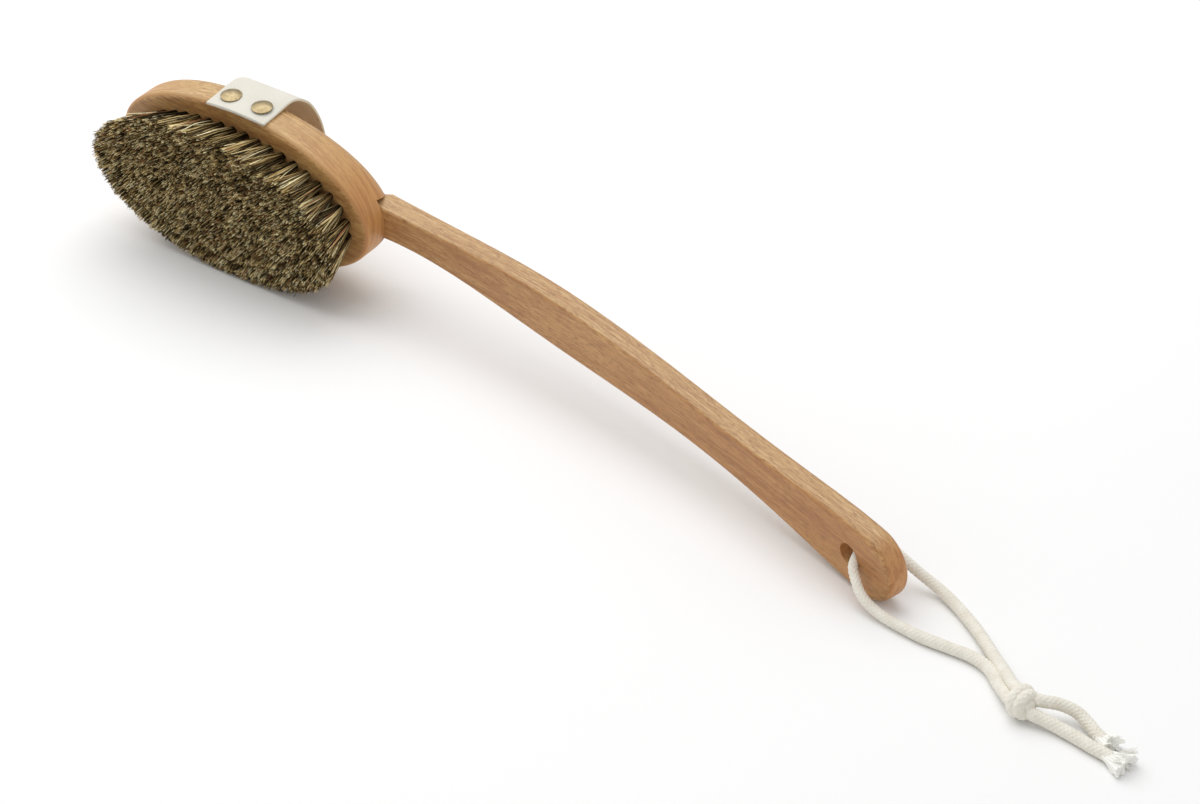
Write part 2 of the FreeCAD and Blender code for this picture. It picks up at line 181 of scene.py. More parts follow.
# ---------------------------------------------------------------- material helpers
class Nodes:
    """A material's node tree, built up from short calls."""

    def __init__(self, name):
        self.material = bpy.data.materials.new(name)
        self.material.use_nodes = True
        self.tree = self.material.node_tree
        self.shader = self.tree.nodes["Principled BSDF"]

    def add(self, kind, **settings):
        node = self.tree.nodes.new(kind)
        for key, value in settings.items():
            setattr(node, key, value)
        return node

    def link(self, source, target):
        self.tree.links.new(source, target)

    def coordinates(self, rotation=(0, 0, 0), scale=(1, 1, 1), source="Object"):
        mapping = self.add("ShaderNodeMapping")
        mapping.inputs["Rotation"].default_value = rotation
        mapping.inputs["Scale"].default_value = scale
        self.link(self.add("ShaderNodeTexCoord").outputs[source], mapping.inputs["Vector"])
        return mapping.outputs["Vector"]

    def noise(self, vector, scale=1.0, detail=2.0, roughness=0.5, distortion=0.0):
        node = self.add("ShaderNodeTexNoise")
        node.inputs["Scale"].default_value = scale
        node.inputs["Detail"].default_value = detail
        node.inputs["Roughness"].default_value = roughness
        node.inputs["Distortion"].default_value = distortion
        self.link(vector, node.inputs["Vector"])
        return node.outputs["Fac"]

    def ramp(self, value, *stops):
        node = self.add("ShaderNodeValToRGB")
        elements = node.color_ramp.elements
        while len(elements) < len(stops):
            elements.new(0.5)
        for element, (position, colour) in zip(elements, stops):
            element.position = position
            element.color = (*colour, 1) if len(colour) == 3 else colour
        self.link(value, node.inputs["Fac"])
        return node.outputs["Color"]

    def range(self, value, low, high, to_low=0.0, to_high=1.0):
        node = self.add("ShaderNodeMapRange")
        for key, number in (("From Min", low), ("From Max", high), ("To Min", to_low), ("To Max", to_high)):
            node.inputs[key].default_value = number
        self.link(value, node.inputs["Value"])
        return node.outputs["Result"]

    def mix(self, factor, first, second, blend="MIX"):
        node = self.add("ShaderNodeMix", data_type="RGBA", blend_type=blend)
        for key, value in (("Factor", factor), ("A", first), ("B", second)):
            socket = [s for s in node.inputs if s.name == key and s.enabled][0]
            if isinstance(value, bpy.types.NodeSocket):
                self.link(value, socket)
            elif isinstance(value, tuple):
                socket.default_value = (*value, 1)
            else:
                socket.default_value = value
        return [s for s in node.outputs if s.enabled][0]

    def math(self, operation, *values):
        node = self.add("ShaderNodeMath", operation=operation)
        for socket, value in zip(node.inputs, values):
            if isinstance(value, bpy.types.NodeSocket):
                self.link(value, socket)
            else:
                socket.default_value = value
        return node.outputs["Value"]

    def bump(self, height, distance, strength=1.0):
        node = self.add("ShaderNodeBump")
        node.inputs["Distance"].default_value = distance
        node.inputs["Strength"].default_value = strength
        self.link(height, node.inputs["Height"])
        self.link(node.outputs["Normal"], self.shader.inputs["Normal"])

    def finish(self, colour, roughness=None, **fixed):
        self.link(colour, self.shader.inputs["Base Color"])
        if isinstance(roughness, bpy.types.NodeSocket):
            self.link(roughness, self.shader.inputs["Roughness"])
        elif roughness is not None:
            self.shader.inputs["Roughness"].default_value = roughness
        for key, value in fixed.items():
            self.shader.inputs[key.replace("_", " ")].default_value = value
        return self.material


def cotton(name, pale, shaded):
    n = Nodes(name)
    where = n.coordinates()
    soft = n.noise(where, 260, 3)
    fibres = n.noise(where, 2600, 2, 0.7)
    colour = n.ramp(soft, (0.3, shaded), (0.7, pale))
    colour = n.mix(n.range(fibres, 0.35, 0.75, 0.0, 0.3), colour, shaded, "MULTIPLY")
    n.bump(fibres, 0.0002, 0.6)
    return n.finish(colour, 0.92, Sheen_Weight=0.25, Sheen_Roughness=0.6)


COTTON = cotton("cotton_cord", (0.88, 0.85, 0.765), (0.79, 0.75, 0.65))
# Painted light: the loose fibres are a paler copy of the cord's cotton, standing in for light that passes
# through thin fibres.
COTTON_FIBRE_PAINTED_LIGHT = cotton("cotton_fibre_painted_light", (0.97, 0.965, 0.93), (0.93, 0.92, 0.87))

# ---------------------------------------------------------------- hanging cord
CORD_DIAMETER = 4.8
CORD_DRAWN = 0.96              # the braid is a little slimmer than its nominal diameter
CORD_STEP = 0.3
CORD_AROUND = 60
BRAID_STRANDS = 6              # in each direction
BRAID_PITCH = 1.7
BRAID_DEPTH = 0.17             # of the radius
BRAID_CREST = 1.03             # the strands' crests, as a share of the radius
SWELL = 0.035                  # slow unevenness of the radius
SWELL_LENGTH = 9.0
PULLED_FOR = 70.0
NARROWING = 2.5                # length over which a narrow end narrows
NARROW_END = 0.45

# Both runs start in the middle of the handle's hole.  x, y, z in the row frame, in millimetres.
CORD_FRONT_RUN = [
    (186.2, -33.3, 14.95),
    (187.0, -40.3, 13.2),
    (190.8, -43.8, 10.2),
    (195.5, -46.6, 5.9),
    (202.9, -48.0, 3.2),
    (212.0, -48.9, 2.45),
    (222.5, -49.7, 2.45),
    (232.5, -48.9, 2.45),
    (241.5, -48.2, 2.45),
    (249.4, -50.4, 2.45),
    (255.0, -55.4, 2.7),
    (260.4, -60.6, 3.6),
    (265.8, -65.2, 4.8),
    (272.6, -66.4, 4.6),
    (279.4, -64.9, 3.2),
    (288.0, -65.2, 2.45),
    (296.6, -66.9, 2.45),
    (304.8, -67.9, 2.45),
]
CORD_REAR_RUN = [
    (184.5, -32.75, 15.1),
    (188.6, -27.4, 15.6),
    (193.6, -23.4, 13.0),
    (200.6, -23.0, 9.4),
    (206.6, -21.7, 5.6),
    (213.8, -21.9, 3.2),
    (221.8, -25.3, 2.45),
    (230.2, -30.5, 2.45),
    (239.0, -36.6, 2.45),
    (248.0, -44.8, 3.1),
    (256.8, -52.6, 4.6),
    (262.6, -58.6, 6.2),
    (268.4, -62.4, 7.4),
    (274.0, -61.8, 7.4),
    (279.0, -57.8, 6.4),
    (284.8, -55.4, 4.6),
    (290.4, -57.0, 3.1),
    (295.2, -60.0, 2.45),
    (298.4, -61.0, 2.45),
]


def smooth_line(points):
    """Points along the NURBS spline that has the given control points, in metres."""
    curve = bpy.data.curves.new("route", "CURVE")
    curve.dimensions = "3D"
    curve.resolution_u = 24
    spline = curve.splines.new("NURBS")
    spline.points.add(len(points) - 1)
    for point, place in zip(spline.points, points):
        point.co = (*(c * MM for c in place), 1)
    spline.order_u = 3
    spline.use_endpoint_u = True
    route = bpy.data.objects.new("route", curve)
    mesh = bpy.data.meshes.new_from_object(route)
    line = np.array([v.co for v in mesh.vertices])
    bpy.data.objects.remove(route)
    bpy.data.curves.remove(curve)
    bpy.data.meshes.remove(mesh)
    return line


def braided_tube(line, diameter, seed, narrow_ends=False, pulled=1.0):
    """A round braided cord along a line, as points and faces: strands wound both ways, crossing.

    Where it is pulled taut, at its start, it is thinner by the given share."""
    rng = np.random.default_rng(seed)
    line, travelled = evenly(line, CORD_STEP * MM)
    side, other = side_vectors(line)
    turn = np.arange(CORD_AROUND) / CORD_AROUND
    climb = travelled[:, None] / (BRAID_PITCH * MM)
    strand_a = np.abs(np.cos(math.pi * (BRAID_STRANDS * turn[None, :] + climb)))
    strand_b = np.abs(np.cos(math.pi * (BRAID_STRANDS * turn[None, :] - climb)))
    stitch = np.maximum(strand_a, strand_b) ** 1.5 * 0.6 + strand_a * strand_b * 0.4
    swells = np.linspace(0, travelled[-1], max(4, int(travelled[-1] / (SWELL_LENGTH * MM))))
    swell = np.interp(travelled, swells, rng.uniform(-SWELL, SWELL, len(swells)))
    radius = diameter / 2 * MM * (BRAID_CREST - BRAID_DEPTH * (1 - stitch) + swell[:, None])
    radius = radius * np.interp(travelled, (0, PULLED_FOR * MM), (pulled, 1.0))[:, None]
    if narrow_ends:
        to_end = np.minimum(travelled, travelled[-1] - travelled) / (NARROWING * MM)
        radius = radius * (NARROW_END + (1 - NARROW_END) * np.sqrt(np.clip(to_end, 0, 1)))[:, None]
    angle = turn * 2 * math.pi
    outward = (
        side[:, None, :] * np.cos(angle)[None, :, None] + other[:, None, :] * np.sin(angle)[None, :, None]
    )
    rings = line[:, None, :] + outward * radius[:, :, None]
    points = np.concatenate([rings.reshape(-1, 3), line[:1], line[-1:]])
    return points, ring_faces(len(line), CORD_AROUND)


def cord_run(name, route, seed, pulled):
    line = smooth_line(route)
    points, faces = braided_tube(line, CORD_DIAMETER * CORD_DRAWN, seed, pulled=pulled)
    return new_piece(name, points, faces, COTTON, "handle"), line


front_cord, front_line = cord_run("cotton_cord_front", CORD_FRONT_RUN, 11, 0.76)
rear_cord, rear_line = cord_run("cotton_cord_rear", CORD_REAR_RUN, 12, 0.88)

KNOT_TURNS = 2.0
KNOT_PITCH = 2.8
KNOT_CORD = 4.4
KNOT_AXIS = (0.93, -0.36, 0.06)
KNOT_PHASE = math.radians(300)
KNOT_TAPER = 0.12              # each turn is this much smaller than the one before
KNOT_TUCK = 0.18               # the part of a turn in which the wrap's end dives inside
KNOT_HEART = 4.2               # the runs squeezed together in its middle, each way from its centre


def knot():
    """The wrap of the overhand knot, drawn tight round the two runs."""
    low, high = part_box("cord_knot")
    centre = np.array((low + high) / 2)
    width = (high.x - low.x - KNOT_CORD * MM) / 2
    height = (high.z - low.z - KNOT_CORD * MM) / 2
    forward = unit(np.array(KNOT_AXIS))
    sideways = unit(np.cross((0, 0, 1), forward))
    upward = np.cross(forward, sideways)
    turns = np.linspace(-KNOT_TURNS / 2, KNOT_TURNS / 2, 90)
    angle = 2 * math.pi * turns + KNOT_PHASE
    tuck = np.clip((KNOT_TURNS / 2 - np.abs(turns)) / KNOT_TUCK, 0, 1) ** 0.6
    reach = (0.42 + 0.58 * tuck) * (0.92 - KNOT_TAPER * turns)
    line = (
        centre
        + forward * (turns * KNOT_PITCH * MM)[:, None]
        + sideways * (np.cos(angle) * reach * width)[:, None]
        + upward * (np.sin(angle) * reach * height)[:, None]
    )
    points, faces = braided_tube(line, KNOT_CORD, 13, narrow_ends=True)
    through = centre + forward * (np.linspace(-KNOT_HEART, KNOT_HEART, 20) * MM)[:, None]
    heart, heart_faces = braided_tube(through, KNOT_CORD * 1.5, 16, narrow_ends=True)
    faces = faces + [tuple(k + len(points) for k in face) for face in heart_faces]
    points = np.concatenate([points, heart])
    return new_piece("cotton_cord_knot", points, faces, COTTON, "handle")


FRAY_AROUND = 72
FRAY_LOCKS = 18
FRAY_RINGS = 12
FRAY_FLATNESS = 0.7
FRAY_BACK = 3.2                # how far back along the cord the braid has come undone
FIBRE_BACK = 1.2               # how far inside the cord the loose fibres start
FIBRE_LOCKS = 14
LOCK_SCATTER = 0.14
FIBRE_REACH = (0.6, 1.05)      # shares of the fray's length
FIBRE_CURL = 0.35
FIBRE_RADIUS = (0.22, 0.36)
LOWEST = 0.2 * MM


def fray_core(rng, end, forward, sideways, upward, spread, length):
    """The dense middle of a fray: the cord's strands fanned out, with a ragged end."""
    turn = np.arange(FRAY_AROUND) / FRAY_AROUND
    notches = rng.uniform(0.55, 1, FRAY_LOCKS)
    ragged = np.interp(turn, np.linspace(0, 1, FRAY_LOCKS + 1), [*notches, notches[0]])
    ridges = 1 + 0.07 * np.sin(2 * math.pi * turn * FRAY_LOCKS)
    neck = CORD_DIAMETER * 0.44
    points = []
    for share in np.linspace(0, 1, FRAY_RINGS):
        radius = (neck + (spread - neck) * share**1.4) * ridges * MM
        reach = (share * (length + FRAY_BACK) * ragged - FRAY_BACK) * MM
        for part, r, f in zip(turn * 2 * math.pi, radius, reach):
            aside = sideways * math.cos(part) + upward * (math.sin(part) * FRAY_FLATNESS)
            place = end + forward * f + aside * r
            points.append((place[0], place[1], max(place[2], LOWEST)))
    points += [tuple(end - forward * (FRAY_BACK * MM)), tuple(end + forward * (length * 0.6 * MM))]
    return points, ring_faces(FRAY_RINGS, FRAY_AROUND)


def loose_fibres(name, line, count, spread, length, seed):
    """The frayed end of a tail: fine fibres in a few locks, opening out over the table."""
    rng = np.random.default_rng(seed)
    end = line[-1]
    forward = unit(line[-1] - line[-6])
    sideways = unit(np.cross((0, 0, 1), forward))
    upward = np.cross(forward, sideways)
    points, faces = fray_core(rng, end, forward, sideways, upward, spread, length)
    locks = rng.uniform(-1, 1, (FIBRE_LOCKS, 2))
    steps = np.linspace(0, 1, 7)
    for _ in range(count):
        lock = locks[rng.integers(len(locks))] + rng.normal(0, LOCK_SCATTER, 2)
        start = rng.uniform(-1, 1, 2) * 0.6 * CORD_DIAMETER / 2
        tip = lock * spread
        reach = length * rng.uniform(*FIBRE_REACH) * (1 - 0.25 * np.hypot(*lock) / 1.4)
        curl = rng.normal(0, FIBRE_CURL, 2)
        ahead = steps * (reach + FIBRE_BACK) - FIBRE_BACK
        wander = start + (tip - start) * steps[:, None] ** 1.4 + curl * np.sin(4 * steps)[:, None]
        path = (
            end
            + forward * ahead[:, None] * MM
            + sideways * wander[:, :1] * MM
            + upward * wander[:, 1:] * MM
        )
        path[:, 2] = np.maximum(path[:, 2], LOWEST)
        thick = rng.uniform(*FIBRE_RADIUS) * MM * (1 - 0.7 * steps**2)
        first = len(points)
        for place, radius in zip(path, thick):
            for corner in range(3):
                angle = 2 * math.pi * corner / 3
                points.append(place + (sideways * math.cos(angle) + upward * math.sin(angle)) * radius)
        points += [path[0], path[-1]]
        faces += ring_faces(len(path), 3, first)
    return new_piece(name, points, faces, COTTON_FIBRE_PAINTED_LIGHT, "handle", smooth=False)


cord_knot = knot()
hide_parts("cord_knot")
fray_lower = loose_fibres("cotton_fray_lower", front_line, count=130, spread=5.6, length=7.6, seed=14)
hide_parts("cord_frayed_end_lower")
fray_upper = loose_fibres("cotton_fray_upper", rear_line, count=90, spread=4.6, length=6.2, seed=15)
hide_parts("cord_frayed_end_upper")
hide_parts("cord_front_run")
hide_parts("cord_rear_run")


# ---------------------------------------------------------------- wood
# Points on the shaft's front edge, in the brush's own x and y: the handle's fibres follow its bend.
SHAFT_FRONT = [(60.0, 11.15), (100.0, 8.8), (160.0, -0.6), (220.0, -13.6), (280.0, -30.3), (350.0, -52.1)]
STRAIGHT = (0.0, 0.0, 0.0, 0.0)


def shaft_bend():
    """The shaft's bend in the row frame, as the coefficients of a cubic in x, in metres."""
    edge = placed([(x, y, 0) for x, y in SHAFT_FRONT])
    return tuple(np.polyfit(edge[:, 0], edge[:, 1], 3))


def beech(name, bend, tint, layering):
    """Oiled beech: fibres along the piece, soft growth lines, short dark flecks, darker end grain, and
    painted shade on the faces towards front and back.

    The less the layering, the wider the layers are that show on the piece's sides."""
    n = Nodes(name)
    facing = n.add("ShaderNodeSeparateXYZ")
    n.link(n.coordinates(source="Normal"), facing.inputs[0])
    end_grain = n.range(n.math("ABSOLUTE", facing.outputs[0]), 0.12, 0.80)
    # How far a face looks front or back: it widens the layers there, and it places the painted shade.
    flat_grain_and_painted_shade = n.range(n.math("ABSOLUTE", facing.outputs[1]), 0.45, 0.90)
    long_grain = n.math("MULTIPLY_ADD", end_grain, -0.92, 1.0)

    split = n.add("ShaderNodeSeparateXYZ")
    n.link(n.coordinates(), split.inputs[0])
    x, y, z = split.outputs
    centre = bend[0]
    for coefficient in bend[1:]:
        centre = n.math("MULTIPLY_ADD", centre, x, coefficient)
    level = n.math("MULTIPLY_ADD", x, float(-along.z / along.x), z)
    level = n.math("MULTIPLY", level, n.math("MULTIPLY_ADD", flat_grain_and_painted_shade, 1 - layering, layering))
    joined = n.add("ShaderNodeCombineXYZ")
    for socket, value in zip(joined.inputs, (x, n.math("SUBTRACT", y, centre), level)):
        n.link(value, socket)

    def streaks(scale, *shape):
        mapping = n.add("ShaderNodeMapping")
        mapping.inputs["Scale"].default_value = scale
        n.link(joined.outputs[0], mapping.inputs["Vector"])
        return n.noise(mapping.outputs["Vector"], 1, *shape)

    broad = streaks((8, 34, 34), 3, 0.5, 0.3)
    lines = streaks((10, 560, 230), 4, 0.6, 0.4)
    fibres = streaks((190, 1500, 1200), 2, 0.6)
    pale_fibres = streaks((50, 1100, 800), 2, 0.6)
    flecks = streaks((330, 2300, 2300), 1, 0.5)
    colour = n.ramp(broad, (0.3, (0.500, 0.300, 0.130)), (0.7, (0.600, 0.400, 0.195)))
    colour = n.mix(n.range(lines, 0.44, 0.60, 0.0, 0.60), colour, (0.385, 0.190, 0.076))
    pale = n.math("MULTIPLY", n.range(pale_fibres, 0.50, 0.66, 0.0, 0.42), long_grain)
    colour = n.mix(pale, colour, (0.74, 0.55, 0.31))
    dark = n.math("MULTIPLY", n.range(fibres, 0.38, 0.52, 0.62, 0.0), long_grain)
    colour = n.mix(dark, colour, (0.33, 0.165, 0.070))
    fleck = n.math("MULTIPLY", n.range(flecks, 0.61, 0.67, 0.0, 0.50), long_grain)
    colour = n.mix(fleck, colour, (0.20, 0.085, 0.035))
    colour = n.mix(1.0, colour, tint, "MULTIPLY")
    # Painted shade: the faces towards front and back are painted darker and redder, as the side in shade.
    colour = n.mix(flat_grain_and_painted_shade, colour, (0.88, 0.74, 0.60), "MULTIPLY")
    colour = n.mix(end_grain, colour, (0.96, 0.73, 0.58), "MULTIPLY")
    height = n.math("SUBTRACT", n.math("MULTIPLY", fibres, 0.5), fleck)
    n.bump(height, 0.00012, 0.5)
    return n.finish(colour, n.range(fibres, 0.2, 0.8, 0.42, 0.56), Coat_Weight=0.06, Coat_Roughness=0.35)


def finish_node(name, material):
    node = nodes[name]
    node.data.materials.clear()
    node.data.materials.append(material)
    for polygon in node.data.polygons:
        polygon.material_index = 0


finish_node("head_block", beech("beech_head", STRAIGHT, (1.09, 1.13, 1.04), 0.28))
finish_node("handle", beech("beech_handle", shaft_bend(), (1.0, 0.98, 0.93), 1.0))


# ---------------------------------------------------------------- nails and anchors
def antique_brass():
    n = Nodes("antique_brass")
    where = n.coordinates()
    patina = n.noise(where, 420, 4, 0.6)
    scratches = n.noise(n.coordinates((0.3, 0.2, 0.5), (500, 4000, 4000)), 1, 2)
    colour = n.ramp(patina, (0.35, (0.28, 0.215, 0.115)), (0.65, (0.40, 0.32, 0.185)))
    colour = n.mix(n.range(scratches, 0.6, 0.75, 0.0, 0.2), colour, (0.46, 0.385, 0.24))
    n.bump(patina, 0.0003, 0.2)
    return n.finish(colour, n.range(patina, 0.3, 0.7, 0.42, 0.3), Metallic=1.0)


def plain_wire():
    n = Nodes("anchor_wire")
    tarnish = n.noise(n.coordinates(), 900, 3)
    colour = n.ramp(tarnish, (0.35, (0.33, 0.32, 0.30)), (0.65, (0.55, 0.54, 0.51)))
    return n.finish(colour, n.range(tarnish, 0.3, 0.7, 0.35, 0.5), Metallic=1.0)


BRASS = antique_brass()
WIRE = plain_wire()
for node_name in nodes:
    if node_name.startswith("strap_nail"):
        finish_node(node_name, BRASS)
    if node_name.startswith("tuft_anchors"):
        finish_node(node_name, WIRE)

# ---------------------------------------------------------------- bristles
HALF_LENGTH = 67.5
HALF_WIDTH = 35.2
BRISTLE_LENGTH = 20.8
ROOT_RADIUS = 1.85
TIP_RADIUS = 3.8
TIP_SPREAD = 0.68              # of the distance to the next tuft's tips
CENTRE_ROW = (8, 6.4)          # number of tufts, distance between them
BRISTLES_PER_TUFT = 250
BRISTLE_RADIUS = (0.13, 0.22)
BRISTLE_STEPS = np.array([-0.03, 0.5, 1.0])
BRISTLE_TAPER = np.array([1.0, 1.0, 0.75])
# Painted shade along each fibre, at root, middle and tip: 0 is painted darkest, 1 gets none; the outer
# ring's fibres are painted lighter at their middles.
OUTER_PAINTED_DAYLIGHT = (0.0, 0.85, 1.0)
INNER_PAINTED_DAYLIGHT = (0.0, 0.3, 1.0)
TUFT_LEAN = 0.2                # scatter of a whole tuft's tips
TIP_SCATTER = 0.4
STRAYS = (0.95, 0.05)          # shares of ordinary fibres and of strays
STRAY_SCATTER = 2.4            # times the ordinary scatter
BOW = 0.35
LENGTH_SCATTER = 0.3
SHORT_SHARE = 0.4
SHORT_BY = (0.3, 2.6)
# Kinds of fibre: dark, brown, straw and red, with their shares and their spans of tone.
KIND_SHARES = (0.46, 0.22, 0.29, 0.03)
KIND_LOW = (0.0, 0.35, 0.66, 0.99)
KIND_HIGH = (0.35, 0.66, 0.93, 1.0)
RED_KIND = 3
PALEST = 0.93
# Fibres of one clump share a shift of tone; a tuft has sectors and bands of clumps.
CLUMP_SECTORS = 7
CLUMP_BANDS = 4
CLUMP_SHIFT = 0.28
LOWEST_TIP = 0.25 * MM
# Rings of tufts from the outside in: inset from the rim, number of tufts, lean in degrees.
TUFT_RINGS = {
    "outer_ring": (10.0, 41, 15.5),
    "second_ring": (16.3, 37, 11.0),
    "third_ring": (22.6, 32, 7.0),
    "inner_ring": (28.9, 25, 3.5),
}


def ellipse_places(inset, count):
    """Places spaced evenly along an ellipse, each with its outward direction, in x and z."""
    half = np.array((HALF_LENGTH - inset, HALF_WIDTH - inset))
    t = np.linspace(0, 2 * math.pi, 2001)
    ring = np.stack([np.cos(t), np.sin(t)], axis=1) * half
    travelled = np.concatenate([[0], np.cumsum(np.linalg.norm(np.diff(ring, axis=0), axis=1))])
    wanted = travelled[-1] * (np.arange(count) + 0.5) / count
    places = np.stack([np.interp(wanted, travelled, ring[:, k]) for k in range(2)], axis=1)
    return places, unit(places / half**2)


def tuft_places(ring):
    """Root, direction, and the direction and reach of the tips' spread along the ring."""
    if ring == "centre_row":
        count, pitch = CENTRE_ROW
        x = (np.arange(count) - (count - 1) / 2) * pitch
        roots = np.stack([x, np.zeros(count), np.zeros(count)], axis=1)
        lengthwise = np.tile((1.0, 0.0, 0.0), (count, 1))
        return roots, np.tile((0.0, -1.0, 0.0), (count, 1)), lengthwise, np.full(count, TIP_RADIUS)
    inset, count, lean = TUFT_RINGS[ring]
    places, outward = ellipse_places(inset, count)
    slope = math.tan(math.radians(lean))
    flat = np.zeros(count)
    roots = np.stack([places[:, 0], flat, places[:, 1]], axis=1)
    directions = np.stack([outward[:, 0] * slope, flat - 1, outward[:, 1] * slope], axis=1)
    tips = roots + directions * BRISTLE_LENGTH
    chord = np.roll(tips, -1, axis=0) - np.roll(tips, 1, axis=0)
    spread = TIP_SPREAD * np.linalg.norm(chord, axis=1) / 2
    return roots, unit(directions), unit(chord), np.maximum(spread, TIP_RADIUS)


def bristle_material():
    """Each fibre has its own tone, from near black to straw, and is painted darker where little light gets
    in: painted shade towards its root.
    """
    n = Nodes("natural_bristle")
    tone = n.add("ShaderNodeAttribute", attribute_name="tone").outputs["Fac"]
    painted_daylight = n.add("ShaderNodeAttribute", attribute_name="painted_daylight").outputs["Fac"]
    streaks = n.noise(n.coordinates(), 900, 2)
    colour = n.ramp(
        tone,
        (0.0, (0.018, 0.012, 0.006)),
        (0.3, (0.055, 0.036, 0.014)),
        (0.5, (0.230, 0.155, 0.058)),
        (0.72, (0.74, 0.57, 0.26)),
        (0.93, (1.0, 0.93, 0.62)),
        (1.0, (0.42, 0.17, 0.08)),
    )
    colour = n.mix(n.range(streaks, 0.3, 0.7, 0.2, 0.0), colour, (0.45, 0.42, 0.38), "MULTIPLY")
    # Painted shade: darker towards each fibre's root, deep in the tufts where less light reaches.
    colour = n.mix(n.range(painted_daylight, 0.0, 0.25, 0.6, 0.0), colour, (0.30, 0.26, 0.22), "MULTIPLY")
    colour = n.mix(n.range(painted_daylight, 0.25, 0.95, 1.0, 0.0), colour, (0.42, 0.39, 0.34), "MULTIPLY")
    colour = n.mix(1.0, colour, (1.22, 1.20, 1.16), "MULTIPLY")
    return n.finish(colour, 0.6, Specular_IOR_Level=0.12)


def bristle_spines(rng, ring, angle, out):
    """Three points along each fibre, and two directions square to it, in the brush's own axes."""
    roots, directions, lengthwise, spreads = tuft_places(ring)
    tufts = len(roots)
    count = tufts * BRISTLES_PER_TUFT
    root = np.repeat(roots, BRISTLES_PER_TUFT, axis=0)
    direction = np.repeat(directions, BRISTLES_PER_TUFT, axis=0)
    second = unit(np.cross(direction, np.repeat(lengthwise, BRISTLES_PER_TUFT, axis=0)))
    first = np.cross(second, direction)
    reach = np.stack([np.repeat(spreads, BRISTLES_PER_TUFT), np.full(count, TIP_RADIUS)], axis=1)

    lean = np.repeat(rng.normal(0, TUFT_LEAN, (tufts, 2)), BRISTLES_PER_TUFT, axis=0)
    stray = rng.normal(0, TIP_SCATTER, (count, 2)) * rng.choice([1, STRAY_SCATTER], (count, 1), p=STRAYS)
    place = np.stack([np.cos(angle), np.sin(angle)], axis=1) * out[:, None]
    start = place * ROOT_RADIUS
    tip = place * reach + lean + stray
    bow = rng.normal(0, BOW, (count, 2))

    length = BRISTLE_LENGTH / np.abs(direction[:, 1])
    length = length + rng.normal(0, LENGTH_SCATTER, count)
    short = rng.uniform(0, 1, count) < SHORT_SHARE
    length = length - short * rng.uniform(*SHORT_BY, count)

    rise = np.clip(BRISTLE_STEPS, 0, 1)
    offset = (
        start[:, None, :]
        + (tip - start)[:, None, :] * (rise**1.15)[None, :, None]
        + bow[:, None, :] * np.sin(math.pi * rise)[None, :, None]
    )
    spine = (
        root[:, None, :]
        + direction[:, None, :] * (length[:, None] * BRISTLE_STEPS[None, :])[:, :, None]
        + first[:, None, :] * offset[:, :, :1]
        + second[:, None, :] * offset[:, :, 1:]
    )
    return spine, first, second


def bristle_faces(count):
    """Faces of three-sided fibres whose corners come ring by ring, fibre by fibre."""
    corners = len(BRISTLE_STEPS) * 3
    pattern = []
    for i in range(len(BRISTLE_STEPS) - 1):
        for j in range(3):
            a = i * 3 + j
            b = i * 3 + (j + 1) % 3
            pattern.append((a, b, b + 3, a + 3))
    ends = [(2, 1, 0), (corners - 3, corners - 2, corners - 1)]
    offsets = (np.arange(count) * corners)[:, None, None]
    quads = (np.array(pattern)[None, :, :] + offsets).reshape(-1, 4)
    caps = (np.array(ends)[None, :, :] + offsets).reshape(-1, 3)
    return quads.tolist() + caps.tolist()


def bristle_tones(rng, angle, out):
    """A tone for each fibre: its kind's own, shifted a little with its clump."""
    count = len(angle)
    tufts = count // BRISTLES_PER_TUFT
    kind = rng.choice(len(KIND_SHARES), count, p=KIND_SHARES)
    low = np.array(KIND_LOW)[kind]
    high = np.array(KIND_HIGH)[kind]
    sector = (angle / (2 * math.pi) * CLUMP_SECTORS).astype(int)
    band = np.minimum((out * CLUMP_BANDS).astype(int), CLUMP_BANDS - 1)
    clump = (np.repeat(np.arange(tufts), BRISTLES_PER_TUFT) * CLUMP_SECTORS + sector) * CLUMP_BANDS + band
    shift = rng.uniform(-CLUMP_SHIFT, CLUMP_SHIFT, tufts * CLUMP_SECTORS * CLUMP_BANDS)[clump]
    return np.where(kind == RED_KIND, 1.0, np.clip(rng.uniform(low, high) + shift, 0, PALEST))


def bristle_ring(ring, seed):
    rng = np.random.default_rng(seed)
    count = len(tuft_places(ring)[0]) * BRISTLES_PER_TUFT
    angle = rng.uniform(0, 2 * math.pi, count)
    out = np.sqrt(rng.uniform(0, 1, count))
    spine, first, second = bristle_spines(rng, ring, angle, out)
    thick = rng.uniform(*BRISTLE_RADIUS, count)[:, None] * BRISTLE_TAPER[None, :]
    twist = rng.uniform(0, 2 * math.pi, count)
    corners = twist[:, None] + np.array([0, 2, 4]) * math.pi / 3
    edge = (
        first[:, None, :] * np.cos(corners)[:, :, None] + second[:, None, :] * np.sin(corners)[:, :, None]
    )
    points = spine[:, :, None, :] + edge[:, None, :, :] * thick[:, :, None, None]
    points = placed(points.reshape(-1, 3))
    points[:, 2] = np.maximum(points[:, 2], LOWEST_TIP)
    faces = bristle_faces(count)
    piece = new_piece(f"bristles_{ring}", points, faces, BRISTLE, "head", smooth=False)

    tones = np.repeat(bristle_tones(rng, angle, out), len(BRISTLE_STEPS) * 3)
    # How much painted shade each point of a fibre gets.
    painted_daylight = OUTER_PAINTED_DAYLIGHT if ring == "outer_ring" else INNER_PAINTED_DAYLIGHT
    for label, values in (("tone", tones), ("painted_daylight", np.tile(np.repeat(painted_daylight, 3), count))):
        attribute = piece.data.attributes.new(label, "FLOAT", "POINT")
        attribute.data.foreach_set("value", values)
    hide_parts(f"tufts_{ring}")


BRISTLE = bristle_material()
for seed, ring in enumerate([*TUFT_RINGS, "centre_row"]):
    bristle_ring(ring, 100 + seed)

# ---------------------------------------------------------------- hand strap
STRAP_WIDTH = 30.0
STRAP_THICKNESS = 1.15
STRAP_LEAN = math.radians(3.0)   # it is nailed on a little askew
